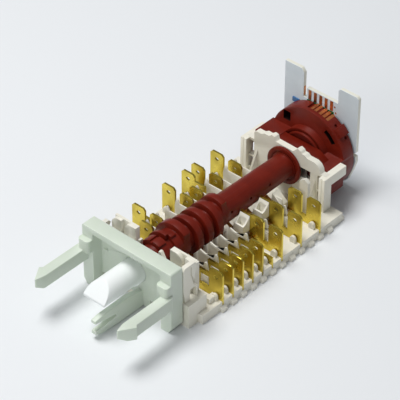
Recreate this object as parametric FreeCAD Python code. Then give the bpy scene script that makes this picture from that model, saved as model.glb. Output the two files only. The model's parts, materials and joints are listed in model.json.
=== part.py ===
import FreeCAD, Part
import math
import os
from FreeCAD import Vector

os.makedirs("parts", exist_ok=True)

# Rotary selector switch with a D-shaped spindle, two rows of push-on tabs and
# an encoder board at the rear. Millimetres. X is across, Y runs along the
# shaft with the spindle at -Y, Z is up with 0 under the base.
# Stations along Y are measured from the first tab of the right-hand row and
# the whole model is moved at the end so that its box is centred.

# clearances
GAP = 0.3          # between parts that only stand close
FIT = 0.05         # running fit, on the radius
SNUG = 0.03        # fitted but not moving, per side
LAP = 0.5          # how far one form of a moulding runs into the next

# shaft line
AXIS_Z = 14.6

# push-on tabs
TAB_W = 6.3
TAB_T = 0.8
TAB_CHAMFER = 0.95
TAB_TOP = 15.9
TAB_ROW_GAP = 2.32
TAB_HOLE_W = 1.5
TAB_HOLE_H = 0.8
TAB_HOLE_DOWN = 2.9
PITCH = 5.214
ROW_SHIFT = 2 * PITCH - 2.458   # first left double tab, from the first right tab
FOOT_DEPTH = 2.2   # how far each blade is let into its ledge
STRIP_TOP = 7.0    # top of the link between the two tabs of a twin blade
ARM_LOW = 11.3     # the single blades' inner arm
ARM_HIGH = 13.3
ARM_IN = 13.6
REACH_TOP = 15.4   # top of the strip that runs in to the shaft
REACH_LOW = 7.4
FLANGE_T = 0.8

# base frame
HALF_W = 25.05
FRAME_FRONT = -6.7
FLOOR_T = 1.6
LEDGE_Z = 3.8
LEDGE_IN = 8.2
NUB_OUT = 1.25
NUB_H = 2.2
NUB_W = 2.4
HUMP_R = 1.2
HUMP_UP = 1.5
HUMP_T = 1.0
RIB_Y = 1.45       # front of a right-hand rib's wall, behind its blade
RIB_T = 0.5
RIB_PROUD = 0.3    # how far bar, nub and inner post stand before the wall
RIB_COUNT = 10

# front of the base frame
STEP_FRONT = -10.5
BLOCK_HALF_W = 23.0
BLOCK_FRONT = -15.3
BLOCK_TOP = 9.9
RIDGE_REAR = -6.1
RIDGE_T = 0.9
RIDGE_TOP = 22.6
RIDGE_IN = 8.1
RIDGE_OUT = 18.9
LUG_FRONT = -8.3
LUG_OUT = 13.6
SLOT_W = 1.3
CHEEK_OUT = 21.0
CHEEK_T = 1.7
CHEEK_TOP = 25.3
CHEEK_LOW_TOP = 21.3
CRADLE_Y = -10.0
CRADLE_T = 1.4
HORN_X = 4.5
HORN_Z = 21.3

# rear wall of the base frame, set off from the last pair of tabs
LAST_TAB = 10 * PITCH
WALL_Y = LAST_TAB + 10.06
WALL_T = 2.4
WALL_HALF_W = 18.7
FRAME_REAR = WALL_Y + 3.8
POST_OUT = 19.9
ARM_Z0 = 14.3
ARM_Z1 = 18.3
ARM_T = 2.7
ARM_END = WALL_Y + 10.3

# camshaft
CAM_R = 7.3
LOBE_R = 8.3
BODY_R = 6.1
GROOVE_R = 4.9
TUBE_R = 5.4
TUBE_R_REAR = 4.8
FLANGE_R = 7.6
FLANGE_Y = WALL_Y - GAP
FLANGE_RIM = 0.95
NOSE_R = 5.0
NOSE_FRONT = -11.6
COLLAR_R = 6.8
COLLAR_TEETH = 9
COLLAR_REAR = -4.6
CAM_FIRST = PITCH - 3.014
CAM_W = 2.6
REAR_JOURNAL_R = 5.0
SQUARE_HALF = 2.6

# spindle
SPINDLE_R = 4.9
SPINDLE_FLAT_Z = 13.3
SPINDLE_TIP_Y = -37.5
SPINDLE_STEP_Y = -32.0
SPINDLE_TIP_HALF = 4.3
PLUG_R = 3.2
PLUG_FLAT = 2.2
PLUG_END = -4.0

# front bracket
BR_HALF_W = 20.8
BR_FRONT = -21.6
BR_REAR = -15.8
BR_TOP = 26.4
BR_BEAM = 2.4
BR_LEG = 5.0
BR_BACK_T = 1.5
BR_BACK_LOW = 4.6
BR_ROUND = 0.8
PRONG_OUT = 22.0
PRONG_T = 3.9
PRONG_Z0 = 12.1
PRONG_Z1 = 17.5
PRONG_TIP_Y = -46.1
BARB_Y = -40.5
BARB = 1.0
BOSS_TOP = 21.7
FORK_X = 2.5
FORK_T = 2.1
FORK_TOP = 8.8
FORK_TIP_Y = -40.6

# rear housing, encoder and board
DISC_R = 17.1
DISC_FRONT = WALL_Y + 12.6
DISC_REAR = DISC_FRONT + 5.6
DISC_WALL = 4.7
HUB_STEPS = ((9.9, 2.8), (8.5, 3.6))
BODY_IN = 8.0
STUB_END = DISC_FRONT + 2.2
BOARD_Y = DISC_REAR + 0.8
BOARD_T = 1.6
BOARD_TOP = 42.9
BOARD_HALF_W = 17.05
FINGER_PITCH = 2.54
FINGER_W = 1.35
FINGER_T = 0.1
FINGER_TOP = 35.1
FINGER_LOW = 30.9

MID_Y = (PRONG_TIP_Y + BOARD_Y + BOARD_T) / 2
FAR = 3 * HALF_W


def box(x0, x1, y0, y1, z0, z1):
    return Part.makeBox(x1 - x0, y1 - y0, z1 - z0, Vector(x0, y0, z0))


def cyl_y(radius, y0, y1, x=0.0, z=AXIS_Z):
    return Part.makeCylinder(radius, y1 - y0, Vector(x, y0, z), Vector(0, 1, 0))


def cone_y(r0, r1, y0, y1):
    return Part.makeCone(r0, r1, y1 - y0, Vector(0, y0, AXIS_Z), Vector(0, 1, 0))


def face(points):
    return Part.Face(Part.makePolygon(points + [points[0]]))


def prism_y(xz, y0, y1):
    return face([Vector(x, y0, z) for x, z in xz]).extrude(Vector(0, y1 - y0, 0))


def prism_x(yz, x0, x1):
    return face([Vector(x0, y, z) for y, z in yz]).extrude(Vector(x1 - x0, 0, 0))


def prism_z(xy, z0, z1):
    return face([Vector(x, y, z0) for x, y in xy]).extrude(Vector(0, 0, z1 - z0))


def join(shapes):
    whole = shapes[0]
    if len(shapes) > 1:
        whole = whole.multiFuse(shapes[1:])
    return whole.removeSplitter()


def mirror(shape):
    return shape.mirror(Vector(0, 0, 0), Vector(1, 0, 0))


def both(shape):
    return [shape, mirror(shape)]


def turned(shape, degrees):
    out = shape.copy()
    out.rotate(Vector(0, 0, AXIS_Z), Vector(0, 1, 0), degrees)
    return out


def long_edges(shape, direction):
    # the straight edges of a shape that run along one direction
    found = []
    for edge in shape.Edges:
        if len(edge.Vertexes) == 2:
            along = edge.Vertexes[1].Point - edge.Vertexes[0].Point
            if abs(along.normalize().dot(direction)) > 0.999:
                found.append(edge)
    return found


nodes = {}

# push-on terminals

TAB_OUT = (HALF_W - TAB_W, HALF_W)
TAB_IN = (HALF_W - 2 * TAB_W - TAB_ROW_GAP, HALF_W - TAB_W - TAB_ROW_GAP)
FLANGE_X0 = LEDGE_IN + 0.4
FLANGE_X1 = FLANGE_X0 + 4.4
FLANGE_DEPTH = 1.45
REACH_X = TUBE_R + 0.4
BOX_LENGTH = 4.43   # a guide box, from its tip near the tube to the inner tabs
FOOT_Z = LEDGE_Z - FOOT_DEPTH


def plate(x0, x1, y, z0, z1):
    return box(x0, x1, y - TAB_T / 2, y + TAB_T / 2, z0, z1)


def tab(x0, x1, y):
    c = TAB_CHAMFER
    outline = [
        (x0, FOOT_Z), (x1, FOOT_Z), (x1, TAB_TOP - c),
        (x1 - c, TAB_TOP), (x0 + c, TAB_TOP), (x0, TAB_TOP - c),
    ]
    blade = prism_y(outline, y - TAB_T / 2, y + TAB_T / 2)
    mid = (x0 + x1) / 2
    z = TAB_TOP - TAB_HOLE_DOWN
    r = TAB_HOLE_H / 2
    half = TAB_HOLE_W / 2 - r
    y0 = y - TAB_T
    y1 = y + TAB_T
    hole = join([
        box(mid - half, mid + half, y0, y1, z - r, z + r),
        cyl_y(r, y0, y1, mid - half, z),
        cyl_y(r, y0, y1, mid + half, z),
    ])
    return blade.cut(hole)


def flange(y, toward):
    # the blade's inner end turns flat on the ledge under the contact spring
    y0, y1 = sorted((y, y + toward * (TAB_T / 2 + FLANGE_DEPTH)))
    flat = box(FLANGE_X0, FLANGE_X1, y0, y1, LEDGE_Z, LEDGE_Z + FLANGE_T)
    web = plate(FLANGE_X0, FLANGE_X1 + TAB_CHAMFER, y, LEDGE_Z, LEDGE_Z + 2.5 * FLANGE_T)
    return [flat, web]


def terminal(kind, y, toward, reach=False):
    out0, out1 = TAB_OUT
    in0, in1 = TAB_IN
    link = plate(FLANGE_X1, out0 + LAP, y, FOOT_Z, STRIP_TOP)
    pieces = flange(y, toward)
    if kind == "outer":
        arm = plate(ARM_IN, out0 + LAP, y, ARM_LOW, ARM_HIGH)
        neck = plate(ARM_IN, ARM_IN + TAB_T, y, STRIP_TOP - LAP, ARM_HIGH)
        pieces += [tab(out0, out1, y), link, arm, neck]
    if kind == "inner":
        pieces += [tab(in0, in1, y)]
    if kind == "stub":
        pieces += [plate(out0 + TAB_W / 3, out1, y, FOOT_Z, STRIP_TOP)]
        pieces += [plate(FLANGE_X1, out0 + TAB_W / 2, y, FOOT_Z, LEDGE_Z + 2.5 * FLANGE_T)]
    if kind == "twin":
        pieces += [tab(out0, out1, y), tab(in0, in1, y), link]
    if reach:
        pieces += [plate(REACH_X, in0 + LAP, y, REACH_LOW, REACH_TOP)]
    return join(pieces)


RIGHT = (
    (0, "outer"), (1, "outer"), (2, "outer"), (3, "outer"), (4, "outer"),
    (5, "stub"), (6, "twin"), (8, "twin"), (10, "twin"),
)
LEFT = (
    (-1, "inner"), (0, "twin"), (1, "stub"), (3, "twin"),
    (4, "inner"), (5, "outer"), (6, "twin"), (8, "twin"),
)
REACHING = (6, 8)      # right-hand blades with a strip that runs in to the shaft


def right_y(k):
    return k * PITCH


def left_y(k):
    return ROW_SHIFT + k * PITCH


for n, (k, kind) in enumerate(RIGHT, 1):
    nodes["right_terminal_%d" % n] = terminal(kind, right_y(k), -1, k in REACHING)
for n, (k, kind) in enumerate(LEFT, 1):
    nodes["left_terminal_%d" % n] = mirror(terminal(kind, left_y(k), 1))

# contact springs: each is riveted to a left flange, passes under the camshaft
# and ends over the flange of the right terminal in the same chamber

SPRING_T = 0.3
SPRING_W = 1.3
RIVET_R = 0.5
CONTACT_R = 0.55
CONTACT_T = 0.45
SPRING_PAIRS = ((-1, 1), (0, 2), (1, 3), (3, 5), (4, 6), (6, 8), (8, 10))
SPRING_FOOT_Z = LEDGE_Z + FLANGE_T
SPRING_END_Z = SPRING_FOOT_Z + 2 * CONTACT_T + GAP
RIVET_X = FLANGE_X0 + 2.4
NOSE_X = 0.8


def spring_y(k):
    return left_y(k) + TAB_T / 2 + SPRING_T / 2 + SPRING_W / 2


def contact_spring(y, cam_r):
    t = SPRING_T
    foot = SPRING_FOOT_Z
    end = SPRING_END_Z
    nose = AXIS_Z - cam_r - GAP - t
    line = [
        (-RIVET_X - 2 * RIVET_R, foot), (-RIVET_X + 2.4, foot), (-3 * NOSE_X, end), (-NOSE_X, nose),
        (NOSE_X, nose), (3 * NOSE_X, end), (RIVET_X + 2 * RIVET_R, end),
    ]
    upper = [(x, z + t) for x, z in reversed(line)]
    strip = prism_y(line + upper, y - SPRING_W / 2, y + SPRING_W / 2)
    hole = Part.makeCylinder(RIVET_R, 4 * t, Vector(-RIVET_X, y, foot - t))
    eye = Part.makeCylinder(RIVET_R, 4 * t, Vector(RIVET_X, y, end - t))
    return strip.cut(hole).cut(eye)


rivets = []
moving = []
fixed = []
for n, (k_left, k_right) in enumerate(SPRING_PAIRS, 1):
    y = spring_y(k_left)
    nodes["contact_spring_%d" % n] = contact_spring(y, LOBE_R if n == 1 else CAM_R)
    foot = SPRING_FOOT_Z
    end = SPRING_END_Z
    shank = Part.makeCylinder(RIVET_R, FLANGE_T / 2 + SPRING_T, Vector(-RIVET_X, y, foot - FLANGE_T / 2))
    head = Part.makeCylinder(0.62, SPRING_T, Vector(-RIVET_X, y, foot + SPRING_T))
    rivets.append(join([shank, head]))
    tip = Part.makeCylinder(CONTACT_R, CONTACT_T, Vector(RIVET_X, y, end - CONTACT_T))
    stem = Part.makeCylinder(RIVET_R, SPRING_T, Vector(RIVET_X, y, end))
    moving.append(join([tip, stem]))
    fixed.append(Part.makeCylinder(CONTACT_R, CONTACT_T, Vector(RIVET_X, y, foot)))
    seat = Part.makeCylinder(RIVET_R, FLANGE_T, Vector(-RIVET_X, y, foot - FLANGE_T / 2))
    for name in nodes:
        if name.startswith("left_terminal"):
            if abs(nodes[name].BoundBox.Center.y - y) < PITCH / 2:
                nodes[name] = nodes[name].cut(seat)
nodes["spring_rivets"] = Part.makeCompound(rivets)
nodes["moving_contacts"] = Part.makeCompound(moving)
nodes["fixed_contacts"] = Part.makeCompound(fixed)

# camshaft: nose, toothed collar, body, cams and the long tapered tube


def polar(radius, degrees):
    a = math.radians(degrees)
    return (radius * math.cos(a), AXIS_Z + radius * math.sin(a))


def sector(r0, r1, y0, y1, start, sweep):
    # part of a ring; angles run from +X toward +Z
    steps = max(2, int(sweep / 30))
    fan = [(0, AXIS_Z)] + [polar(2 * r1, start + sweep * n / steps) for n in range(steps + 1)]
    ring = cyl_y(r1, y0, y1)
    if r0 > 0:
        ring = ring.cut(cyl_y(r0, y0 - LAP, y1 + LAP))
    return ring.common(prism_y(fan, y0, y1))


def ramp(high, low, y0, y1, end, toe):
    # the straight run from the end of a lobe down to the low radius
    return prism_y([(0, AXIS_Z), polar(high, end), polar(low, toe)], y0, y1)


def cam_y(k):
    return CAM_FIRST + (k + 1) * PITCH


COLLAR_FRONT = CRADLE_Y + CRADLE_T + GAP
RING_Y = (COLLAR_REAR + 1.3, COLLAR_REAR + 2.7)
LOBE_Y = (cam_y(-1) - 0.6, cam_y(-1) + CAM_W - 0.1)
TUBE_START = cam_y(2) + CAM_W

cam = [
    cyl_y(NOSE_R, NOSE_FRONT, RING_Y[1]),
    cyl_y(COLLAR_R, COLLAR_FRONT, COLLAR_REAR),
    sector(0, CAM_R, RING_Y[0], RING_Y[1], 80, 120),
    cyl_y(BODY_R, RING_Y[1], LOBE_Y[1]),
    sector(0, BODY_R + 0.8, RING_Y[1], RING_Y[1] + 2.5, 67, 21),
    sector(0, LOBE_R, LOBE_Y[0], LOBE_Y[1], 48, 130),
    ramp(LOBE_R - 0.05, BODY_R - 0.1, LOBE_Y[0], LOBE_Y[1], 50, 22),
    cyl_y(GROOVE_R, LOBE_Y[1] - LAP, TUBE_START),
    cone_y(BODY_R - 0.2, TUBE_R, TUBE_START, TUBE_START + 1.2),
    cone_y(TUBE_R, TUBE_R_REAR, TUBE_START - LAP, FLANGE_Y - FLANGE_RIM / 2),
    cyl_y(FLANGE_R, FLANGE_Y - FLANGE_RIM, FLANGE_Y),
    cyl_y(REAR_JOURNAL_R, FLANGE_Y, WALL_Y + WALL_T + GAP),
]
swept = [(CAM_R, RING_Y[0], RING_Y[1]), (LOBE_R, LOBE_Y[0], LOBE_Y[1])]
for k, start, sweep in ((0, -60, 290), (1, -40, 260), (2, -75, 300), (3, 60, 145)):
    low = BODY_R if k < 3 else TUBE_R
    cam.append(cyl_y(low, cam_y(k), cam_y(k) + CAM_W))
    cam.append(sector(0, CAM_R, cam_y(k), cam_y(k) + CAM_W, start, sweep))
    cam.append(ramp(CAM_R - 0.05, low - 0.1, cam_y(k), cam_y(k) + CAM_W, start + 1, start - 27))
    end = start + sweep
    cam.append(ramp(CAM_R - 0.05, low - 0.1, cam_y(k), cam_y(k) + CAM_W, end - 1, end + 27))
    swept.append((CAM_R, cam_y(k), cam_y(k) + CAM_W))
square = box(-SQUARE_HALF, SQUARE_HALF, WALL_Y, STUB_END, AXIS_Z - SQUARE_HALF, AXIS_Z + SQUARE_HALF)
camshaft = join(cam + [square])
dish = cone_y(FLANGE_R - 1.0, FLANGE_R - 1.9, FLANGE_Y - FLANGE_RIM - LAP, FLANGE_Y - FLANGE_RIM / 2)
camshaft = camshaft.cut(dish.cut(cyl_y(TUBE_R, FLANGE_Y - 5, FLANGE_Y + LAP)))
for n in range(COLLAR_TEETH):
    groove_top = AXIS_Z + COLLAR_R
    groove = box(-0.67, 0.67, COLLAR_FRONT - LAP, COLLAR_REAR + 0.05, groove_top - 0.7, groove_top + 1)
    camshaft = camshaft.cut(turned(groove, -8 - n * 360 / COLLAR_TEETH))
for k in (6, 8, 10):
    dimple = Part.makeCylinder(0.55, 1.2, Vector(4.3, right_y(k) - 4.2, AXIS_Z + 1.2), Vector(1, 0, 0.25))
    camshaft = camshaft.cut(dimple)
plug_low = AXIS_Z - PLUG_FLAT
socket = cyl_y(PLUG_R + SNUG, NOSE_FRONT - LAP, PLUG_END + GAP)
socket = socket.common(box(-FAR, FAR, -FAR, FAR, plug_low - SNUG, FAR))
nodes["camshaft"] = camshaft.cut(socket)

# base frame: floor, two ledges for the blades, and comb nubs along both edges

frame = [box(-HALF_W, HALF_W, FRAME_FRONT, FRAME_REAR, 0, FLOOR_T)]
frame += both(box(LEDGE_IN, HALF_W, FRAME_FRONT, FRAME_REAR - 1, 0, LEDGE_Z))
ROOT = FLOOR_T - 0.2   # where the upright forms start, inside the floor


def comb_nub(y):
    low = [(HALF_W - LAP, 0), (HALF_W + NUB_OUT, 0), (HALF_W + NUB_OUT, NUB_H - 0.8),
           (HALF_W, NUB_H), (HALF_W - LAP, NUB_H)]
    return prism_y(low, y - NUB_W / 2, y + NUB_W / 2)


def hump(y):
    # a round-topped tongue that stands in front of each outer tab
    mid = HALF_W - 2.75
    y0 = y - TAB_T - HUMP_T
    y1 = y0 + HUMP_T
    post = box(mid - HUMP_R, mid + HUMP_R, y0, y1, ROOT, LEDGE_Z + HUMP_UP)
    return post.fuse(cyl_y(HUMP_R, y0, y1, mid, LEDGE_Z + HUMP_UP))


def right_rib(y, short):
    # a thin wall behind the blade; bar, nub and inner post stand proud of it
    y0 = y + RIB_Y
    y1 = y0 + RIB_T
    front = y0 - RIB_PROUD / 2
    x1 = 10.2
    if short:
        wall = prism_y([(5.3, ROOT), (x1, ROOT), (x1, 11.7), (7.0, 11.7), (5.3, 9.8)], y0, y1)
        return [wall, box(5.3, 7.5, front, y1, ROOT, 9.8)]
    wall = [
        (5.3, ROOT), (16.9, ROOT), (16.9, 9.2), (14.5, 9.2), (14.5, 11.0), (16.9, 11.6), (16.3, 14.4),
        (15.9, 15.1), (15.2, 14.8), (14.6, 13.0), (10.5, 12.9), (8.3, 13.5), (5.3, 9.8),
    ]
    bar = [
        (10.9, 11.9), (14.5, 11.6), (16.9, 11.6), (16.3, 14.4), (15.9, 15.1), (15.2, 14.8), (14.7, 13.0),
        (10.9, 12.9),
    ]
    post = [(5.3, ROOT), (7.5, ROOT), (7.5, 12.5), (5.3, 9.8)]
    low_post = box(14.5, 17.1, y0 - 0.45, y0 + 0.15, ROOT, 9.3)
    return [prism_y(wall, y0, y1), prism_y(bar, front, y1), prism_y(post, front, y1), low_post]


LEFT_RIB = [
    (5.2, ROOT), (16.6, ROOT), (16.6, 11.3), (16.1, 13.9), (15.6, 14.6),
    (15.0, 14.3), (14.4, 12.8), (8.3, 12.9), (5.2, 9.0),
]


def guide_box(k, pocket):
    # a sloped box between two ribs, close in front of a blade's inward strip
    front = right_y(k - 1) + RIB_Y - RIB_PROUD
    rear = right_y(k) - TAB_T / 2 - GAP / 2
    low = 8.5
    yz = [(front, low), (front, 11.7), (rear - 2.25, 12.1), (rear - 0.75, 13.6), (rear, 14.75), (rear, low)]
    x0 = REACH_X
    x1 = TAB_IN[0] + 0.1
    solid = prism_x(yz, x0, x1)
    if pocket:
        # the walls at both ends of the pocket keep their share of the box's length
        length = x1 - x0
        near_wall, far_wall = 0.6 * length / BOX_LENGTH, 1.6 * length / BOX_LENGTH
        return solid.cut(box(x0 + near_wall, x1 - far_wall, rear - 2.25, rear - 0.75, low + 0.9, FAR))
    top = [(x0, low - 1.2), (x1, low - 1.2), (x1, low + 0.5), (x0, low + 4.1)]
    return prism_y(top, front, rear)


for k in range(int((FRAME_REAR - FRAME_FRONT) / PITCH) - 1):
    frame += both(comb_nub(right_y(k) - GAP))
for k, kind in RIGHT:
    frame.append(hump(right_y(k)))
for k, kind in LEFT:
    if kind != "inner":
        frame.append(mirror(hump(left_y(k))))
for k in range(RIB_COUNT):
    frame += right_rib(right_y(k), k in (5, 7, 9))
for k in range(-1, RIB_COUNT - 1):
    middle = left_y(k) + PITCH / 2
    frame.append(mirror(prism_y(LEFT_RIB, middle - RIB_T / 2, middle + RIB_T / 2)))
frame += [guide_box(6, True), guide_box(8, True), guide_box(10, False)]

# tall post beside the last right terminal
tall = [(13.3, ROOT), (17.1, ROOT), (17.1, 18.9), (15.4, 20.2), (13.3, 18.7)]
frame.append(prism_y(tall, right_y(10) + 2.1, right_y(10) + 3.5))

# front block with two troughs and a channel under the shaft
TROUGH = BLOCK_HALF_W - 4.6
front = box(-BLOCK_HALF_W, BLOCK_HALF_W, BLOCK_FRONT, FRAME_FRONT + LAP, 0, BLOCK_TOP)
front = front.cut(box(-TROUGH, TROUGH, CRADLE_Y + CRADLE_T, FRAME_FRONT + 1, FLOOR_T, FAR))
front = front.cut(box(-TROUGH, TROUGH, BLOCK_FRONT + 1.6, CRADLE_Y, FLOOR_T, FAR))
front = front.cut(cyl_y(NOSE_R + GAP, BLOCK_FRONT - 1, 0))
frame.append(front)
frame += both(box(BLOCK_HALF_W - 1, HALF_W, STEP_FRONT, FRAME_FRONT + LAP, 0, LEDGE_Z))

# ridge behind the block: a thin wall with an inner lug and an outer block
frame += both(box(RIDGE_IN, RIDGE_OUT, RIDGE_REAR - RIDGE_T, RIDGE_REAR, ROOT, RIDGE_TOP))
round_r = 3.0
lug = box(RIDGE_IN, LUG_OUT, LUG_FRONT, RIDGE_REAR - RIDGE_T, ROOT, RIDGE_TOP)
lug = lug.makeFillet(round_r, [e for e in long_edges(lug, Vector(0, 1, 0))
                               if e.CenterOfMass.x > RIDGE_IN + 1 and e.CenterOfMass.z > BLOCK_TOP])
frame += both(lug)
outer = box(LUG_OUT + SLOT_W, RIDGE_OUT + 0.6, LUG_FRONT, RIDGE_REAR, ROOT, RIDGE_TOP - 0.1)
frame.append(outer)
outer = mirror(outer)
frame.append(outer.makeFillet(round_r, [e for e in long_edges(outer, Vector(0, 1, 0))
                                        if e.CenterOfMass.x < -RIDGE_OUT and e.CenterOfMass.z > BLOCK_TOP]))
frame += both(box(RIDGE_OUT - 1.3, RIDGE_OUT, CRADLE_Y, LUG_FRONT + LAP, ROOT, 17.6))


def cheek(top):
    x0 = CHEEK_OUT - CHEEK_T
    yz = [
        (-14.4, BLOCK_TOP - LAP), (-15.6, 15.5), (-15.6, top - 0.8), (-14.6, top),
        (-9.8, top), (-8.9, top - 1),
        (-10.2, 18.2), (-10.2, 15.6), (-8.6, 14.6), (-8.6, BLOCK_TOP - LAP),
    ]
    plate_x = prism_x(yz, x0, CHEEK_OUT)
    return plate_x.cut(box(x0 - 1, CHEEK_OUT + 1, -12.4, -9.4, 11.4, 14.6))


frame += [cheek(CHEEK_TOP), mirror(cheek(CHEEK_LOW_TOP))]

# the open cradle in which the camshaft nose turns, between two horns
cradle_xz = [
    (-RIDGE_OUT, ROOT), (RIDGE_OUT, ROOT), (RIDGE_OUT, 17.6), (8.6, 17.6), (6.9, 17.6),
    (HORN_X + 0.7, HORN_Z - 0.6), (HORN_X, HORN_Z - 0.6),
    (-HORN_X, HORN_Z - 0.6), (-HORN_X - 0.7, HORN_Z - 0.6), (-6.9, 17.6), (-RIDGE_OUT, 17.6),
]
cradle = prism_y(cradle_xz, CRADLE_Y, CRADLE_Y + CRADLE_T)
cradle = cradle.cut(cyl_y(NOSE_R + FIT, CRADLE_Y - 1, CRADLE_Y + CRADLE_T + 1))
cradle = cradle.cut(box(-4.3, 4.3, CRADLE_Y - 1, CRADLE_Y + CRADLE_T + 1, AXIS_Z, FAR))
frame.append(cradle)

# rear wall with its uneven crest, posts, arms and gussets
crest = [
    (-WALL_HALF_W, 0), (WALL_HALF_W, 0), (WALL_HALF_W, 21.6), (17.2, 23.8), (11.3, 26.0), (9.7, 26.5),
    (7.8, 27.0), (6.0, 25.1), (-2.0, 25.4), (-4.4, 27.1), (-8.0, 25.9), (-11.6, 25.3), (-14.3, 22.7),
    (-WALL_HALF_W, 22.2),
]
WALL_REAR = WALL_Y + WALL_T
wall = prism_y(crest, WALL_Y, WALL_REAR)
wall = wall.cut(cyl_y(REAR_JOURNAL_R + FIT, WALL_Y - 1, WALL_REAR + 1))
frame.append(wall)
post = box(WALL_HALF_W - 1.5, POST_OUT, WALL_Y - 2, WALL_REAR - 0.4, 1, ARM_Z1)
post = post.cut(box(POST_OUT - 1.6, POST_OUT - 1.1, WALL_Y - 3, WALL_Y - 1.6, LEDGE_Z + 1, FAR))
frame += both(post)
frame += both(box(POST_OUT - ARM_T, POST_OUT, WALL_Y - 2 + LAP, ARM_END, ARM_Z0, ARM_Z1))
gusset = [
    (WALL_Y + 0.1, 15.0), (WALL_Y + 0.1, FLOOR_T), (WALL_Y - 4.8, FLOOR_T), (WALL_Y - 4.8, LEDGE_Z + 0.3),
]
frame += both(prism_x(gusset, 13.2, 14.1))

base = join(frame)

# room for the cams as they turn
for radius, y0, y1 in swept:
    base = base.cut(cyl_y(radius + GAP, y0 - 0.2, y1 + 0.2))

# windows in the rear wall for the clip noses, and the seat of the earth clip
for z0, z1 in ((10.8, 17.3), (5.3, 10.1)):
    for window in both(box(15.0, 16.5, WALL_Y - 1, WALL_REAR + 1, z0, z1)):
        base = base.cut(window)
CLIP = (6.6, 9.5, WALL_Y + 0.7, WALL_Y + 1.1, 7.5, 16.4)
base = base.cut(box(CLIP[0] - GAP, CLIP[1] + 2.1, WALL_Y - 1, WALL_REAR + 1, CLIP[5] - 4.0, CLIP[5] + 0.6))
base = base.cut(box(CLIP[0] - SNUG, CLIP[1] + SNUG, CLIP[2] - SNUG, CLIP[3] + SNUG, CLIP[4] - SNUG, CLIP[5]))
nodes["earth_clip"] = box(*CLIP)

# slots that take the feet of the blades
for name, shape in nodes.items():
    if "terminal" in name:
        foot = shape.common(box(-FAR, FAR, -FAR, FAR, 0, LEDGE_Z - SNUG)).BoundBox
        base = base.cut(box(foot.XMin - SNUG, foot.XMax + SNUG, foot.YMin - SNUG, foot.YMax + SNUG,
                            foot.ZMin - SNUG, FAR))

# holes in the block's front wall for the two tongues of the bracket
TONGUE = (9.6, 12.6, 5.2, 6.8)
for hole in both(box(TONGUE[0] - SNUG, TONGUE[1] + SNUG, BLOCK_FRONT - 1, BLOCK_FRONT + 2,
                     TONGUE[2] - SNUG, TONGUE[3] + SNUG)):
    base = base.cut(hole)
nodes["base_frame"] = base

# spindle: a round bar with a flat underside, stepped and bevelled at its tip

shaft_y1 = NOSE_FRONT - GAP
bar = cyl_y(SPINDLE_R, SPINDLE_STEP_Y, shaft_y1)
tip = cyl_y(SPINDLE_R, SPINDLE_TIP_Y, SPINDLE_STEP_Y)
tip = tip.common(box(-SPINDLE_TIP_HALF, FAR, -FAR, 0, 0, FAR))
tip_z = AXIS_Z + 1.2
tip_y = SPINDLE_TIP_Y - 1
tip = tip.cut(prism_x([(tip_y, tip_z), (tip_y + 1, tip_z),
                       (tip_y + 3.2, tip_z + SPINDLE_R), (tip_y, tip_z + SPINDLE_R)],
                      -FAR, FAR))
tip = tip.cut(prism_z([(-SPINDLE_R - 1, tip_y), (-2.2, tip_y), (-SPINDLE_R - 1, tip_y + 4.4)], 0, FAR))
under = box(-FAR, FAR, -FAR, BR_FRONT + 1.2, 0, SPINDLE_FLAT_Z)
plug = cyl_y(PLUG_R, shaft_y1 - 1, PLUG_END).common(box(-FAR, FAR, -FAR, 0, plug_low, FAR))
nodes["spindle"] = join([join([bar, tip]).cut(under), plug])

# front snap-in bracket with its two prongs and the fork

legs_top = BR_TOP - BR_BEAM
inner = BR_HALF_W - BR_LEG
solid = box(-BR_HALF_W, BR_HALF_W, BR_FRONT, BR_REAR, 0, BR_TOP)
solid = solid.makeFillet(BR_ROUND, [e for e in long_edges(solid, Vector(0, 1, 0))
                                    if e.CenterOfMass.z > legs_top])
inside = box(-inner, inner, BR_FRONT - 1, BR_REAR - BR_BACK_T, -1, legs_top)
inside = inside.makeFillet(BR_ROUND / 2, [e for e in long_edges(inside, Vector(0, 1, 0))
                                          if e.CenterOfMass.z > 1])
opening = box(-inner, inner, BR_REAR - 5, BR_REAR + 1, -1, BR_BACK_LOW)
bracket = solid.cut(inside).cut(opening)
corner_xz = [(-BR_HALF_W - 1, -1), (-BR_HALF_W + 2.2, -1), (-BR_HALF_W - 1, 4.0)]
corner = prism_y(corner_xz, BR_FRONT - 1, BR_REAR + 1)
bracket = bracket.cut(corner).cut(mirror(corner))
hollow = box(inner + 1.2, BR_HALF_W - 1.2, BR_FRONT + 1.6, BR_REAR + 1, 1.2, PRONG_Z0 - 1.6)
bracket = bracket.cut(hollow).cut(mirror(hollow))
prong_in = PRONG_OUT - PRONG_T
prong_xy = [
    (prong_in, BR_REAR - 1), (prong_in, PRONG_TIP_Y + 3.8), (prong_in + 0.9, PRONG_TIP_Y),
    (PRONG_OUT - 2.6, PRONG_TIP_Y), (PRONG_OUT + BARB, BARB_Y), (PRONG_OUT, BARB_Y + 0.9),
    (PRONG_OUT, BR_FRONT - 0.6), (BR_HALF_W, BR_FRONT + 0.8), (BR_HALF_W, BR_REAR - 1),
]
prong = prism_z(prong_xy, PRONG_Z0, PRONG_Z1)
under_tip = prism_x([(PRONG_TIP_Y - 1, PRONG_Z0 - 1), (PRONG_TIP_Y + 3.0, PRONG_Z0 - 1),
                     (PRONG_TIP_Y + 3.0, PRONG_Z0),
                     (PRONG_TIP_Y - 1, PRONG_Z0 + 2.4)], 0, FAR)
prong = prong.cut(under_tip)
boss_r = 1.2
boss_h = BOSS_TOP - PRONG_Z1 + 1
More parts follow.
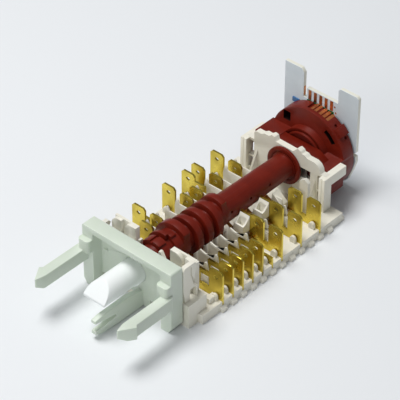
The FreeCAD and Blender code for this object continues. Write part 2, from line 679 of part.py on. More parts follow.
boss = join([
    box(inner, BR_HALF_W, BR_FRONT - boss_r, BR_FRONT + LAP, PRONG_Z1 - 1, BOSS_TOP),
    box(inner + boss_r, BR_HALF_W - boss_r, BR_FRONT - 2 * boss_r, BR_FRONT + LAP, PRONG_Z1 - 1, BOSS_TOP),
    Part.makeCylinder(boss_r, boss_h, Vector(BR_HALF_W - boss_r, BR_FRONT - boss_r, PRONG_Z1 - 1)),
    Part.makeCylinder(boss_r, boss_h, Vector(inner + boss_r, BR_FRONT - boss_r, PRONG_Z1 - 1)),
])
fork_root = BR_REAR - BR_BACK_T + LAP
fork_low = 0.5
fork_yz = [
    (fork_root, BR_BACK_LOW + 2.6), (fork_root, fork_low), (-30, fork_low), (-37.5, fork_low + 0.7),
    (FORK_TIP_Y, fork_low + 1.7), (FORK_TIP_Y, fork_low + 3.1),
    (-30.5, fork_low + 3.7), (-30.5, fork_low + 4.7),
    (FORK_TIP_Y, FORK_TOP - 1.9), (FORK_TIP_Y, FORK_TOP - 0.6), (-37.5, FORK_TOP), (-24, FORK_TOP),
]
fork = prism_x(fork_yz, FORK_X - FORK_T / 2, FORK_X + FORK_T / 2)
fork_foot = box(FORK_X - 4, FORK_X + 4, BR_REAR - BR_BACK_T, BR_REAR, fork_low, BR_BACK_LOW + 1)
hook = box(-13.9, -12.5, BR_REAR - BR_BACK_T - 0.6, BR_REAR - LAP, 15.7, 16.5)
# tongues that snap behind the front wall of the base's block
tongue_end = BLOCK_FRONT + 1.6 + GAP
tongue = prism_x([
    (BR_REAR - LAP, TONGUE[2]), (tongue_end + 1.2, TONGUE[2]), (tongue_end + 1.2, TONGUE[3] - 0.6),
    (tongue_end, TONGUE[3]), (BR_REAR - LAP, TONGUE[3]),
], TONGUE[0], TONGUE[1])
bracket = join([bracket, fork, fork_foot, hook] + both(prong) + both(boss) + both(tongue))
nodes["front_bracket"] = bracket.cut(cyl_y(SPINDLE_R + FIT, BR_REAR - 4, BR_REAR + 1))

# rear housing of the encoder

BODY_Y = WALL_REAR + GAP
housing = [cyl_y(DISC_R, DISC_FRONT, DISC_REAR)]
for radius, ahead in HUB_STEPS:
    y = DISC_FRONT - ahead
    step = cyl_y(radius, y, DISC_FRONT + LAP)
    housing.append(step.cut(cyl_y(radius - 0.7, y - 1, y + 0.4)))
housing.append(box(-DISC_R + 0.2, -BODY_IN, BODY_Y, DISC_FRONT + 0.2, 6.0, 20.4))
housing.append(box(BODY_IN, DISC_R - 0.2, BODY_Y, DISC_FRONT + 0.2, 6.0, 17.8))
rim_tab = box(-1.95, 1.95, DISC_FRONT + 1.2, DISC_REAR, AXIS_Z + DISC_R - 0.6, AXIS_Z + DISC_R + 1.1)
housing.append(turned(rim_tab, 45.5))
for x in (-11.5, 11.5):
    for z in (6.0, 23.0):
        housing.append(cyl_y(1.5, DISC_REAR - 1, BOARD_Y, x, z))
housing = join(housing)
cavity_r = DISC_R - DISC_WALL
LEAD_R = DISC_R - 0.8
LEAD_Y = DISC_FRONT + 1.6
housing = housing.cut(cyl_y(cavity_r, DISC_FRONT + 1.2, DISC_REAR + 0.01))
housing = housing.cut(cyl_y(SQUARE_HALF * math.sqrt(2) + LAP, WALL_Y, DISC_REAR))
housing = housing.cut(sector(13.7, 14.8, DISC_FRONT - 1, DISC_FRONT + 1, 35, 20))
housing = housing.cut(box(-11.8, -8.7, DISC_FRONT - 1, DISC_FRONT + 1, 22.8, 26.6))
housing = housing.cut(sector(LEAD_R, DISC_R + 1, LEAD_Y, DISC_REAR + 1, 64, 34))
for angle, y in ((53.7, DISC_FRONT + 3.1), (34.8, DISC_FRONT + 4.1)):
    x, z = polar(DISC_R - 1, angle)
    a = math.radians(angle)
    hole = Part.makeCylinder(0.6, 3, Vector(x, y, z), Vector(math.cos(a), 0, math.sin(a)))
    housing = housing.cut(hole)
nodes["rear_housing"] = housing.cut(box(-FAR, FAR, WALL_Y, 2 * FAR, -FAR, 0))

# copper leads that run from the rim of the housing to the board
leads = []
for angle in (92.5, 86.3, 78.7, 72.6, 66.5):
    leads.append(sector(LEAD_R, LEAD_R + 0.2, LEAD_Y + 0.2, BOARD_Y - FINGER_T, angle - 2.1, 4.2))
nodes["encoder_leads"] = Part.makeCompound(leads)

# encoder rotor, turned by the square end of the camshaft, and its wiper
rotor_r = cavity_r - GAP
ROTOR_Y = DISC_FRONT + 1.5
WIPER_Y = ROTOR_Y + 2.1
WIPER_T = 0.3
hub_r = 2 * SQUARE_HALF
rotor = join([cyl_y(rotor_r, ROTOR_Y, WIPER_Y), cyl_y(hub_r, ROTOR_Y + LAP, DISC_REAR - 2 * GAP)])
half = SQUARE_HALF + SNUG
nodes["encoder_rotor"] = rotor.cut(box(-half, half, WALL_Y, STUB_END + SNUG, AXIS_Z - half, AXIS_Z + half))
wiper = [cyl_y(hub_r + 1.8, WIPER_Y, WIPER_Y + WIPER_T).cut(cyl_y(hub_r + FIT, WIPER_Y - 1, WIPER_Y + 1))]
tip_r = AXIS_Z + rotor_r
for n in (-1, 0, 1):
    arm = box(-0.7, 0.7, WIPER_Y, WIPER_Y + WIPER_T, AXIS_Z + hub_r + 0.4, tip_r - 0.6)
    finger = prism_x([(WIPER_Y, tip_r - 2.4), (WIPER_Y + WIPER_T, tip_r - 2.7),
                      (BOARD_Y - GAP, tip_r - 1.4), (BOARD_Y - GAP, tip_r - 1.0)], -0.5, 0.5)
    wiper += [turned(arm, n * 25), turned(finger, n * 25)]
nodes["encoder_wiper"] = join(wiper)

# circuit board, its copper fingers and the one part on its face
board_xz = [
    (-17.05, 42.9), (-9.4, 42.9), (-8.1, 41.3), (-8.1, 30.9), (-6.6, 30.9), (-6.6, 35.4),
    (8.0, 35.4), (8.0, 41.2), (8.9, 42.1), (16.3, 42.1), (17.2, 41.3),
    (17.2, 17.6), (15.5, 16.6), (15.5, 15.9), (17.1, 15.8), (17.4, 13.7),
    (16.1, 9.3), (14.1, 4.0), (10.0, 0.0), (-10.0, 0.0), (-14.1, 4.0), (-17.05, 9.0),
]
nodes["circuit_board"] = prism_y(board_xz, BOARD_Y, BOARD_Y + BOARD_T)
fingers = []
for n in range(-2, 3):
    x = 0.1 + FINGER_PITCH * n
    half_w = FINGER_W / 2
    fingers.append(box(x - half_w, x + half_w, BOARD_Y - FINGER_T, BOARD_Y, FINGER_LOW, FINGER_TOP))
nodes["board_fingers"] = Part.makeCompound(fingers)
nodes["board_capacitor"] = box(-12.8, -9.7, DISC_REAR + GAP, BOARD_Y, 27.0, 28.8)

for name, shape in nodes.items():
    print(name, shape.isValid(), len(shape.Solids), round(shape.Volume, 1))
    moved = shape.copy()
    moved.translate(Vector(0, -MID_Y, 0))
    moved.exportStep("parts/%s.step" % name)
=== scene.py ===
# %% [markdown]
# This notebook dresses an oven's selector switch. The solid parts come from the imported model,
# each at its real size and place, and every one of them gets the finish of the real thing here.
# Blender counts in metres, so a size in millimetres is multiplied by MM on its way there.

import json
import math

import bpy
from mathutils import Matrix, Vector


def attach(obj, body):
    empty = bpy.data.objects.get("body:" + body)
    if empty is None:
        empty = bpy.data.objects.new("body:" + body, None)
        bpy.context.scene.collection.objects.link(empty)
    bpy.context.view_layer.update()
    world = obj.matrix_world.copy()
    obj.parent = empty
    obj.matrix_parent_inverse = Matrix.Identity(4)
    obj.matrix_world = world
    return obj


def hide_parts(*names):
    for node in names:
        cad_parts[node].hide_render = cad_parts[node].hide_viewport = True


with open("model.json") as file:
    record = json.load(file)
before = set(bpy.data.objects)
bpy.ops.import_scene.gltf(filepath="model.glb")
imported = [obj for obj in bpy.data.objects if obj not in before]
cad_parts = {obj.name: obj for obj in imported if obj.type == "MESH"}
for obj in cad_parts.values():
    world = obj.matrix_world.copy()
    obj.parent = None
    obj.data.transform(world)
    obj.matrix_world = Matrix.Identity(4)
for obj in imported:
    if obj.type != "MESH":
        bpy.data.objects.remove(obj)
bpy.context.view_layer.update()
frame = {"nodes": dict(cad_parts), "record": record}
solid = frame["nodes"]
MM = 0.001
print("solids:", len(solid))

# %% [markdown]
# ## Colours and one way to add a node
# Colours are picked as web colours, which are sRGB, while the renderer adds up light in
# linear numbers. One function does that change, so that a colour is written as it should look.
# A second small function adds a shader node, sets its values and joins its wires.

# %% Helpers for materials
def from_hex(code):
    parts = [int(code[i:i + 2], 16) / 255 for i in (1, 3, 5)]
    linear = [p / 12.92 if p <= 0.04045 else ((p + 0.055) / 1.055) ** 2.4 for p in parts]
    return (*linear, 1.0)


def add_node(material, kind, values, wires):
    made = material.node_tree.nodes.new(kind)
    for name, value in values.items():
        if isinstance(name, int) or name in made.inputs:
            made.inputs[name].default_value = value
        else:
            setattr(made, name, value)
    for name, source in wires.items():
        material.node_tree.links.new(source, made.inputs[name])
    return made


def new_material(name):
    material = bpy.data.materials.new(name)
    material.use_nodes = True
    material.node_tree.nodes.clear()
    return material


def finish_material(material, shader_values, shader_wires):
    shader = add_node(material, "ShaderNodeBsdfPrincipled", shader_values, shader_wires)
    add_node(material, "ShaderNodeOutputMaterial", {}, {"Surface": shader.outputs["BSDF"]})
    return material


def per_metre(size_mm):
    return 1 / (size_mm * MM)


print("one pattern cell of 2 mm is scale", per_metre(2))

# %% [markdown]
# ## The base frame's plastic
# The frame is glass-filled polybutylene terephthalate (PBT), moulded in one piece. It is an off-white
# that the years and the warmth of an oven turn a little yellow in patches. The mould leaves a fine matt
# grain, which scatters light, so the highlights are broad and weak.

# %% Off-white PBT
# sizes of the patches and of the grain are in mm, colours are the lightest and the darkest tone
def moulded_plastic(name, light, dark, patch_mm, grain_mm, roughness, grain_depth, values=None):
    material = new_material(name)
    place = add_node(material, "ShaderNodeTexCoord", {}, {}).outputs["Object"]
    patches = add_node(material, "ShaderNodeTexNoise",
                       {"Scale": per_metre(patch_mm), "Detail": 3.0, "Roughness": 0.6}, {"Vector": place})
    tone = add_node(material, "ShaderNodeMix",
                    {"data_type": "RGBA", 6: from_hex(dark), 7: from_hex(light)},
                    {0: patches.outputs["Fac"]})
    grain = add_node(material, "ShaderNodeTexNoise",
                     {"Scale": per_metre(grain_mm), "Detail": 2.0, "Roughness": 0.5}, {"Vector": place})
    bump = add_node(material, "ShaderNodeBump",
                    {"Strength": grain_depth, "Distance": 0.05 * MM}, {"Height": grain.outputs["Fac"]})
    rough = add_node(material, "ShaderNodeMapRange",
                     {"To Min": roughness - 0.06, "To Max": roughness + 0.08},
                     {"Value": patches.outputs["Fac"]})
    shader_values = {"IOR": 1.5, "Metallic": 0.0}
    shader_values.update(values or {})
    return finish_material(material, shader_values,
                           {"Base Color": tone.outputs[2], "Roughness": rough.outputs["Result"],
                            "Normal": bump.outputs["Normal"]})


off_white_pbt = moulded_plastic("off_white_pbt", "#F1EFE4", "#E0DBCA", 9, 0.5, 0.45, 0.25)
print("made", off_white_pbt.name)

# %% [markdown]
# ## The bracket's plastic
# The snap-in bracket is unfilled polyamide (nylon) in its natural colour. It is milky: light goes a
# millimetre or two into it and comes out again, which softens edges and gives a cool, greenish white.
# Subsurface scattering is what the shader offers for that.

# %% Natural polyamide and the spindle's white plastic
natural_polyamide = moulded_plastic(
    "natural_polyamide", "#D8E0D2", "#C9D4C5", 12, 0.6, 0.4, 0.15,
    {"Subsurface Weight": 0.35, "Subsurface Radius": (1.0, 1.1, 0.9), "Subsurface Scale": 1.2 * MM})
white_acetal = moulded_plastic(
    "white_acetal", "#FAFCFB", "#F0F5F4", 10, 0.5, 0.38, 0.12,
    {"Subsurface Weight": 0.12, "Subsurface Radius": (1.0, 1.0, 1.0), "Subsurface Scale": 0.6 * MM})
print("made", natural_polyamide.name, "and", white_acetal.name)

# %% [markdown]
# ## The red-brown plastic
# Camshaft and encoder housing are moulded in the same brick-red PBT. It is smoother than the frame,
# so edges and the cams' rims carry a soft shine. Two openings in the housing lead into its dark inside,
# which isn't modelled there, so the walls of those openings are painted nearly black: painted shade.

# %% Brick-red PBT
brick_red_pbt = moulded_plastic("brick_red_pbt", "#7C2110", "#581208", 6, 0.45, 0.36, 0.2,
                                {"Specular IOR Level": 0.25})
# painted shade: a near-black red that stands in for the shade inside the housing's two openings
recess_shade = moulded_plastic("recess_shade", "#1C0805", "#120402", 6, 0.45, 0.6, 0.1,
                               {"Specular IOR Level": 0.1})
print("made", brick_red_pbt.name, "and", recess_shade.name)

# %% [markdown]
# ## Metals
# The blades are stamped from rolled brass strip. Rolling leaves fine lines along the strip and handling
# leaves duller, browner patches, so both colour and roughness change a little over a blade. The springs
# are a redder bronze, the contacts fine silver, the clip is plain steel, and the fingers are copper.

# %% Rolled and stamped metal
def rolled_metal(name, clean, stained, line_mm, patch_mm, roughness):
    material = new_material(name)
    place = add_node(material, "ShaderNodeTexCoord", {}, {}).outputs["Object"]
    patches = add_node(material, "ShaderNodeTexNoise",
                       {"Scale": per_metre(patch_mm), "Detail": 2.0, "Roughness": 0.5}, {"Vector": place})
    fade = add_node(material, "ShaderNodeMapRange", {"From Min": 0.3, "From Max": 0.85},
                    {"Value": patches.outputs["Fac"]})
    tone = add_node(material, "ShaderNodeMix",
                    {"data_type": "RGBA", 6: from_hex(clean), 7: from_hex(stained)},
                    {0: fade.outputs["Result"]})
    # the rolling lines run up the blade: the pattern is pulled long in Z
    pulled = add_node(material, "ShaderNodeMapping", {"Scale": (1.0, 1.0, 0.04)}, {"Vector": place})
    lines = add_node(material, "ShaderNodeTexNoise",
                     {"Scale": per_metre(line_mm), "Detail": 2.0}, {"Vector": pulled.outputs["Vector"]})
    bump = add_node(material, "ShaderNodeBump", {"Strength": 0.15, "Distance": 0.03 * MM},
                    {"Height": lines.outputs["Fac"]})
    rough = add_node(material, "ShaderNodeMapRange",
                     {"To Min": roughness - 0.06, "To Max": roughness + 0.1},
                     {"Value": patches.outputs["Fac"]})
    return finish_material(material, {"Metallic": 1.0},
                           {"Base Color": tone.outputs[2], "Roughness": rough.outputs["Result"],
                            "Normal": bump.outputs["Normal"]})


rolled_brass = rolled_metal("rolled_brass", "#E9D25E", "#A08A2E", 0.4, 8, 0.27)
phosphor_bronze = rolled_metal("phosphor_bronze", "#D09A4E", "#A3722F", 0.4, 4, 0.3)
fine_silver = rolled_metal("fine_silver", "#E4E1DA", "#C9C4B8", 0.3, 1, 0.25)
spring_steel = rolled_metal("spring_steel", "#A9ABAD", "#86888B", 0.4, 5, 0.36)
etched_copper = rolled_metal("etched_copper", "#D28C5A", "#9C5A36", 0.3, 1.5, 0.42)
metals = (rolled_brass, phosphor_bronze, fine_silver, spring_steel, etched_copper)
print("metals:", [m.name for m in metals])

# %% [markdown]
# ## The circuit board
# The board is glass-fibre laminate under a white solder mask, which is a little cloudy and shows the
# weave of the fibres as a fine roughness. The routed edge isn't masked: it shows the pale fibres
# themselves, and a face that looks sideways or upwards is such an edge.

# %% Masked laminate
def masked_laminate():
    material = new_material("masked_laminate")
    place = add_node(material, "ShaderNodeTexCoord", {}, {}).outputs["Object"]
    facing = add_node(material, "ShaderNodeNewGeometry", {}, {}).outputs["Normal"]
    part = add_node(material, "ShaderNodeSeparateXYZ", {}, {"Vector": facing})
    flat = add_node(material, "ShaderNodeMath", {"operation": "ABSOLUTE"}, {0: part.outputs["Y"]})
    is_face = add_node(material, "ShaderNodeMath", {"operation": "GREATER_THAN", 1: 0.5},
                       {0: flat.outputs["Value"]})
    cloud = add_node(material, "ShaderNodeTexNoise", {"Scale": per_metre(7), "Detail": 2.0},
                     {"Vector": place})
    mask = add_node(material, "ShaderNodeMix",
                    {"data_type": "RGBA", 6: from_hex("#C9D3D9"), 7: from_hex("#D8E0E4")},
                    {0: cloud.outputs["Fac"]})
    fibre = add_node(material, "ShaderNodeTexNoise", {"Scale": per_metre(0.5), "Detail": 3.0},
                     {"Vector": place})
    edge = add_node(material, "ShaderNodeMix",
                    {"data_type": "RGBA", 6: from_hex("#DEDCCB"), 7: from_hex("#EFEEE4")},
                    {0: fibre.outputs["Fac"]})
    tone = add_node(material, "ShaderNodeMix", {"data_type": "RGBA"},
                    {0: is_face.outputs["Value"], 6: edge.outputs[2], 7: mask.outputs[2]})
    bump = add_node(material, "ShaderNodeBump", {"Strength": 0.2, "Distance": 0.03 * MM},
                    {"Height": fibre.outputs["Fac"]})
    return finish_material(material, {"IOR": 1.5, "Roughness": 0.35},
                           {"Base Color": tone.outputs[2], "Normal": bump.outputs["Normal"]})


white_mask_laminate = masked_laminate()
blue_ceramic = moulded_plastic("blue_ceramic", "#3E73A8", "#2C5C8E", 1.5, 0.3, 0.3, 0.1)
print("made", white_mask_laminate.name, "and", blue_ceramic.name)

# %% Give each solid its finish
finishes = {
    "base_frame": off_white_pbt,
    "front_bracket": natural_polyamide,
    "spindle": white_acetal,
    "camshaft": brick_red_pbt,
    "rear_housing": brick_red_pbt,
    "encoder_rotor": white_acetal,
    "encoder_wiper": phosphor_bronze,
    "circuit_board": white_mask_laminate,
    "board_fingers": etched_copper,
    "encoder_leads": etched_copper,
    "board_capacitor": blue_ceramic,
    "earth_clip": spring_steel,
    "spring_rivets": rolled_brass,
    "moving_contacts": fine_silver,
    "fixed_contacts": fine_silver,
}
for name, node in solid.items():
    finish = finishes.get(name)
    if finish is None:
        finish = phosphor_bronze if name.startswith("contact_spring") else rolled_brass
    node.data.materials.clear()
    node.data.materials.append(finish)
print("finished solids:", len(solid))

# %% [markdown]
# ## Modelling helpers
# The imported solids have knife-sharp edges, and a moulded part never has. The larger solids are
# therefore copied, the seams between their faces are merged, the copy is cut or extended to what the
# photograph shows, and its edges are rounded. The helpers take millimetres, and lengths along the
# switch are counted from the first blade on the right, which stands MIDDLE before the frame's origin.

# %% Selecting, copying and finishing a piece
MIDDLE = 18.35
AXIS_Z = 14.6    # height of the shaft's axis
bodies = frame["record"]["behaviour"]["bodies"]


def only(piece):
    bpy.ops.object.select_all(action="DESELECT")
    piece.select_set(True)
    bpy.context.view_layer.objects.active = piece


def start_edit(piece):
    only(piece)
    bpy.ops.object.mode_set(mode="EDIT")
    bpy.ops.mesh.select_all(action="SELECT")


def end_edit():
    # normals of the whole mesh are turned outward, and nothing is left selected
    bpy.ops.mesh.select_all(action="SELECT")
    bpy.ops.mesh.normals_make_consistent(inside=False)
    bpy.ops.mesh.select_all(action="DESELECT")
    bpy.ops.object.mode_set(mode="OBJECT")


def copy_of(name):
    piece = bpy.data.objects.new("dressed_" + name, solid[name].data.copy())
    bpy.context.scene.collection.objects.link(piece)
    start_edit(piece)
    bpy.ops.mesh.remove_doubles(threshold=0.001 * MM)
    bpy.ops.mesh.dissolve_limited(angle_limit=math.radians(0.3))
    end_edit()
    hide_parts(name)
    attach(piece, [body for body, names in bodies.items() if name in names][0])
    return piece


def round_edges(piece, radius, segments=2, smooth=32):
    only(piece)
    bevel = piece.modifiers.new("soft", "BEVEL")
    bevel.width = radius * MM
    bevel.segments = segments
    bevel.limit_method = "ANGLE"
    bevel.angle_limit = math.radians(smooth)
    bevel.use_clamp_overlap = True
    bpy.ops.object.modifier_apply(modifier="soft")
    bpy.ops.object.shade_smooth_by_angle(angle=math.radians(smooth))


def paint(piece, material):
    piece.data.materials.clear()
    piece.data.materials.append(material)


print("bodies:", {b: len(names) for b, names in bodies.items()})

# %% [markdown]
# ## Blocks to add or to cut with
# A straight block starts as a plane that is drawn out to size and pushed up. A block with an outline
# starts as one point: it is extruded from corner to corner, the ring is filled, and the face is pushed.
# The same blocks serve as cutters, which a boolean modifier takes away from a piece.

# %% Blocks and cuts
def plane_piece():
    bpy.ops.object.select_all(action="DESELECT")
    bpy.ops.mesh.primitive_plane_add(size=MM)
    piece = bpy.context.object
    start_edit(piece)
    return piece


def push_face(push):
    bpy.ops.mesh.extrude_region_move(TRANSFORM_OT_translate={"value": [p * MM for p in push]})
    end_edit()


def block(x0, x1, y0, y1, z0, z1):
    piece = plane_piece()
    bpy.ops.transform.resize(value=(x1 - x0, y1 - y0, 1))
    middle = ((x0 + x1) / 2, (y0 + y1) / 2 - MIDDLE, z0)
    bpy.ops.transform.translate(value=[c * MM for c in middle])
    push_face((0, 0, z1 - z0))
    return piece


def outline_block(corners, push):
    corners = [Vector((x, y - MIDDLE, z)) * MM for x, y, z in corners]
    piece = plane_piece()
    bpy.ops.mesh.merge(type="CENTER")
    bpy.ops.transform.translate(value=corners[0])
    for here, there in zip(corners, corners[1:]):
        bpy.ops.mesh.extrude_vertices_move(TRANSFORM_OT_translate={"value": there - here})
    bpy.ops.mesh.select_all(action="SELECT")
    bpy.ops.mesh.edge_face_add()
    push_face(push)
    return piece


def front_outline(points, y0, y1):
    return outline_block([(x, y0, z) for x, z in points], (0, y1 - y0, 0))


def side_outline(points, x0, x1):
    return outline_block([(x0, y, z) for y, z in points], (x1 - x0, 0, 0))


def arc(radius, start, end, steps=9):
    # points on a circle about the shaft, angles counted from right to top
    turns = [math.radians(start + (end - start) * n / (steps - 1)) for n in range(steps)]
    return [(radius * math.cos(t), AXIS_Z + radius * math.sin(t)) for t in turns]


def cut_away(piece, cutter):
    only(piece)
    cut = piece.modifiers.new("cut", "BOOLEAN")
    cut.operation = "DIFFERENCE"
    cut.solver = "EXACT"
    cut.object = cutter
    bpy.ops.object.modifier_apply(modifier="cut")
    bpy.data.objects.remove(cutter)


def add_to_frame(piece, name, material, rounding=0.0):
    piece.name = name
    if rounding:
        round_edges(piece, rounding)
    paint(piece, material)
    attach(piece, "frame")


print("an arc of the housing's slot:", [[round(c, 1) for c in p] for p in arc(13.2, 34, 57, 3)])

# %% [markdown]
# ## Base frame
# The crest of the rear wall steps down in low humps, and the wall's left windows reach its left end.
# Two guide boxes are open cups with thin walls. The right cheek has a window at its foot, and above it
# a groove that curves back, so that the front of the cheek stands out like a tongue. A low rib lies on
# the ledge before the first right blade.

# %% Base frame
WALL = (61.5, 65.2)    # from before to behind the rear wall
WALL_LEFT = -20.5
WALL_RIGHT = 20.5
WINDOW_END = (-17.6, -15.1)    # what is added to each of the two left windows
WINDOW_HEIGHTS = [(10.8, 17.3), (5.3, 10.1)]
ROW_PITCH = 5.214
BOX_ROWS = (6, 8)    # the guide boxes whose pockets are opened stand before these blades
POCKET_WIDTH = (6.5, 9.6)
POCKET_HEIGHT = (9.4, 16)
BESIDE_CHEEK = 26    # clear of the cheek, on its right
LEDGE_RIB = (20.6, 22.8, -4.5, -0.6, 3.7, 5.95)
crest = [
    (WALL_LEFT, 18.4), (-15.1, 18.4), (-15.1, 21.6), (-14.2, 22.4), (-11.6, 22.4), (-10.1, 23.4),
    (-8.2, 23.3), (-6.8, 24.4), (-5.4, 24.2), (-4.9, 22.4), (3.4, 22.2), (4.4, 23.4),
    (5.5, 24.4), (7.0, 23.8), (7.4, 23.0), (8.8, 23.0), (9.8, 22.2), (13.4, 22.2),
    (15.0, 21.4), (16.0, 19.9), (16.3, 18.4), (WALL_RIGHT, 18.4), (WALL_RIGHT, 29), (WALL_LEFT, 29),
]
cheek_window = [(-12.5, 9.95), (-12.1, 14.2), (-10.1, 14.7), (-9.1, 13.7), (-9.1, 9.95)]
cheek_groove = [(-12.0, 24.2), (-11.4, 24.2), (-11.4, 20.4), (-10.3, 17.6), (-10.3, 15.4), (-12.0, 20.6)]

base = copy_of("base_frame")
cut_away(base, front_outline(crest, *WALL))
for heights in WINDOW_HEIGHTS:
    cut_away(base, block(*WINDOW_END, *WALL, *heights))
for row in BOX_ROWS:
    blade_y = row * ROW_PITCH
    cut_away(base, block(*POCKET_WIDTH, blade_y - 3.5, blade_y - 1.3, *POCKET_HEIGHT))
cut_away(base, side_outline(cheek_window, 18.6, BESIDE_CHEEK))
cut_away(base, side_outline(cheek_groove, 20.3, BESIDE_CHEEK))
round_edges(base, 0.12, segments=1)
paint(base, off_white_pbt)
add_to_frame(block(*LEDGE_RIB), "ledge_rib", off_white_pbt, rounding=0.15)
print("base frame faces:", len(base.data.polygons))

# %% [markdown]
# ## Bracket and spindle
# The bracket only needs its soft edges. The spindle ends in one long slope, like a chisel: the old end
# is cut off square, its face is pushed forward to full length, and a slanted cut makes the slope.

# %% Bracket
bracket = copy_of("front_bracket")
round_edges(bracket, 0.4, segments=3)
paint(bracket, natural_polyamide)
print("bracket faces:", len(bracket.data.polygons))

# %% Spindle
SQUARE_CUT_Y = -31.2
TIP_Y = -37.5
TIP_TOP_Z = 14.3
SLOPE_NORMAL = (0, -5.2, 5.0)

spindle = copy_of("spindle")
start_edit(spindle)
bpy.ops.mesh.bisect(plane_co=(0, (SQUARE_CUT_Y - MIDDLE) * MM, 0), plane_no=(0, 1, 0),
                    clear_inner=True, use_fill=True)
end_edit()
end_face = min(spindle.data.polygons, key=lambda f: f.center.y)
print("spindle cut at mm:", round(end_face.center.y / MM + MIDDLE, 2))
for face in spindle.data.polygons:
    face.select = face.index == end_face.index
bpy.ops.object.mode_set(mode="EDIT")
bpy.ops.mesh.extrude_region_move(TRANSFORM_OT_translate={"value": (0, (TIP_Y - SQUARE_CUT_Y) * MM, 0)})
bpy.ops.mesh.select_all(action="SELECT")
bpy.ops.mesh.bisect(plane_co=(0, (TIP_Y - MIDDLE) * MM, TIP_TOP_Z * MM), plane_no=SLOPE_NORMAL,
                    clear_outer=True, use_fill=True)
end_edit()
round_edges(spindle, 0.25)
paint(spindle, white_acetal)
print("spindle faces:", len(spindle.data.polygons))

# %% [markdown]
# ## Camshaft and encoder housing
# Two openings go deep into the face of the housing, a square one at the left and a curved slot at the
# right. A roof over the end of the shaft joins the housing's two side blocks behind the rear wall.

# %% Camshaft
camshaft = copy_of("camshaft")
round_edges(camshaft, 0.15)
paint(camshaft, brick_red_pbt)
print("camshaft faces:", len(camshaft.data.polygons))

# %% Housing
OPENING = (73.8, 79.2)    # from before the housing's face to the bottom of its openings
SQUARE_WIDTH = (-11.9, -8.6)
SQUARE_HEIGHT = (22.9, 26.7)
SLOT_RADII = (13.2, 15.1)
SLOT_ENDS = (34, 57)
BEHIND_RIM = 75.1    # the openings' walls begin here, behind the rounding of their rims
REACH = 0.1

housing = copy_of("rear_housing")
cut_away(housing, block(*SQUARE_WIDTH, *OPENING, *SQUARE_HEIGHT))
inner_arc = arc(SLOT_RADII[0], *SLOT_ENDS)
outer_arc = arc(SLOT_RADII[1], *reversed(SLOT_ENDS))
cut_away(housing, front_outline(inner_arc + outer_arc, *OPENING))
round_edges(housing, 0.2)
paint(housing, brick_red_pbt)
housing.data.materials.append(recess_shade)


def within(value, limits):
    return limits[0] - REACH < value < limits[1] + REACH


def in_opening(place):
    x, y, z = place.x / MM, place.y / MM + MIDDLE, place.z / MM
    in_square = within(x, SQUARE_WIDTH) and within(z, SQUARE_HEIGHT)
    in_slot = x > 5 and z > 20 and within(math.hypot(x, z - AXIS_Z), SLOT_RADII)
    return y > BEHIND_RIM and (in_square or in_slot)


# faces on the walls of the openings get the painted shade from the second slot
shaded = [face for face in housing.data.polygons if in_opening(face.center)]
for face in shaded:
    face.material_index = 1
roof = [(-12.9, 18.9), (-12.9, 20.2), (8.4, 20.2), (12.9, 17.7), (12.9, 16.6), (8.0, 18.9)]
add_to_frame(front_outline(roof, 65.1, 71.6), "housing_roof", brick_red_pbt, rounding=0.3)
print("housing faces:", len(housing.data.polygons), "of them in the openings:", len(shaded))

# %% [markdown]
# ## Circuit board
# Beside the fingers the board shows a plated edge in its slit, a strip of green mask where the fingers
# end, and two small round pads. They all stand a few hundredths of a millimetre out of its face.

# %% Circuit board
FACE = (81.12, 81.3)    # from just before the board's face to just inside it
MASK_STRIP = (-6.1, 6.3, 81.0, 81.3, 28.6, 30.7)
PLATED_EDGE = (-8.2, -8.04, 81.5, 82.5, 31.2, 35.2)
PAD_CENTRES = [(6.65, 33.1), (7.2, 30.7)]
PAD_RADIUS = 0.35
PAD_CORNERS = 20
deep_green = moulded_plastic("deep_green_mask", "#0F6B2C", "#0A4F20", 2, 0.3, 0.35, 0.05)

board = copy_of("circuit_board")
round_edges(board, 0.1, segments=1)
paint(board, white_mask_laminate)
add_to_frame(block(*MASK_STRIP), "green_mask", deep_green)
add_to_frame(block(*PLATED_EDGE), "plated_edge", etched_copper)
turns = [math.tau * k / PAD_CORNERS for k in range(PAD_CORNERS)]
for n, (x, z) in enumerate(PAD_CENTRES):
    ring = [(x + PAD_RADIUS * math.cos(t), z + PAD_RADIUS * math.sin(t)) for t in turns]
    add_to_frame(front_outline(ring, *FACE), "test_pad_%d" % n, etched_copper)
print("board faces:", len(board.data.polygons))

# %% [markdown]
# ## Blades
# Each tab has an oval hole below its top edge, which the plug's dimple snaps into. The tabs of one blade
# are found by their top edges, the narrow faces that look up at full height.

# %% Blades
TOP_BAND = 0.2    # top edges lie no further than this below the highest point
HOLE_DOWN = 2.9
HOLE_SIZE = (0.95, 0.7, 1.0)    # half width, half height, and the cutter's length unchanged
CUTTER_LENGTH = 2.4
blades = [name for name in sorted(solid) if "terminal" in name]
holes = 0
for name in blades:
    blade = copy_of(name)
    top = max(v.co.z for v in blade.data.vertices)
    tab_tops = [f.center.copy() for f in blade.data.polygons
                if f.normal.z > 0.99 and f.center.z > top - TOP_BAND * MM]
    for middle in tab_tops:
        bpy.ops.object.select_all(action="DESELECT")
        bpy.ops.mesh.primitive_cylinder_add(
            vertices=16, radius=MM, depth=CUTTER_LENGTH * MM, scale=HOLE_SIZE,
            location=middle - Vector((0, 0, HOLE_DOWN * MM)), rotation=(math.radians(90), 0, 0))
        cut_away(blade, bpy.context.object)
    holes += len(tab_tops)
    round_edges(blade, 0.07, segments=1)
    paint(blade, rolled_brass)
print("blades:", len(blades), "holes:", holes, "faces of the last:", len(blade.data.polygons))

# %% [markdown]
# ## Floor, light and camera
# The switch lies on a plain pale table under soft studio light: one large lamp above and a little to
# the left, a weaker one in front, and an even pale sky. A lamp's power is worked out from how bright
# a white card at the switch should look, so the colours come out about as they are written.

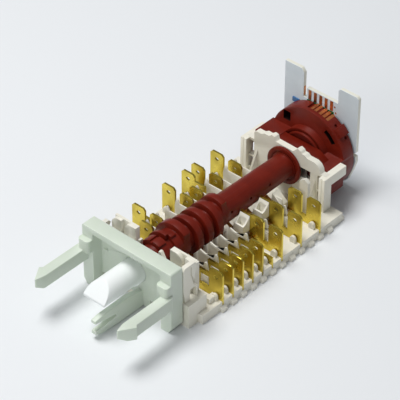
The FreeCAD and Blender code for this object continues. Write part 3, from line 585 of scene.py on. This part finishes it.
# %% Floor and sky
def pale_floor():
    bpy.ops.object.select_all(action="DESELECT")
    bpy.ops.mesh.primitive_plane_add(size=6.0, location=(0, 0, 0))
    floor = bpy.context.object
    floor.name = "floor"
    material = new_material("pale_table")
    place = add_node(material, "ShaderNodeTexCoord", {}, {}).outputs["Object"]
    cloud = add_node(material, "ShaderNodeTexNoise", {"Scale": 2.0, "Detail": 1.0}, {"Vector": place})
    tone = add_node(material, "ShaderNodeMix",
                    {"data_type": "RGBA", 6: from_hex("#E4E7EA"), 7: from_hex("#E9EBED")},
                    {0: cloud.outputs["Fac"]})
    finish_material(material, {"Roughness": 0.7}, {"Base Color": tone.outputs[2]})
    floor.data.materials.append(material)
    return floor


pale_floor()
sky = bpy.data.worlds.new("even_sky")
sky.use_nodes = True
bpy.context.scene.world = sky
sky_light = sky.node_tree.nodes["Background"]
sky_light.inputs["Color"].default_value = from_hex("#F4F7FA")
sky_light.inputs["Strength"].default_value = 0.24
print("sky strength", sky_light.inputs["Strength"].default_value)

# %% Lamps
def soft_lamp(name, place, aim, width, level):
    lamp = bpy.data.lights.new(name, "AREA")
    lamp.shape = "SQUARE"
    lamp.size = width
    away = Vector(place) - Vector(aim)
    # a card facing the lamp gets power / (pi * distance squared), and white shows that over pi
    lamp.energy = level * math.pi ** 2 * away.length ** 2
    holder = bpy.data.objects.new(name, lamp)
    holder.location = place
    holder.rotation_mode = "QUATERNION"
    holder.rotation_quaternion = away.to_track_quat("Z", "Y")
    bpy.context.scene.collection.objects.link(holder)
    return holder


AIM = (0, 0, 0.02)    # the middle of the switch
soft_lamp("top_lamp", (-0.25, -0.1, 0.9), AIM, width=0.42, level=0.84)
soft_lamp("front_lamp", (0.1, -0.9, 0.45), AIM, width=0.6, level=0.22)

# %% Camera at the photograph's angle
eye = bpy.data.cameras.new("eye")
eye.lens = 192.9
eye.sensor_width = 36
camera = bpy.data.objects.new("eye", eye)
camera.location = (0.38985, -0.43421, 0.49111)
camera.rotation_euler = (math.radians(51.322), 0, math.radians(42.081))
bpy.context.scene.collection.objects.link(camera)
bpy.context.scene.camera = camera
bpy.context.scene.view_settings.view_transform = "Standard"
print("camera distance", round(camera.location.length, 3))
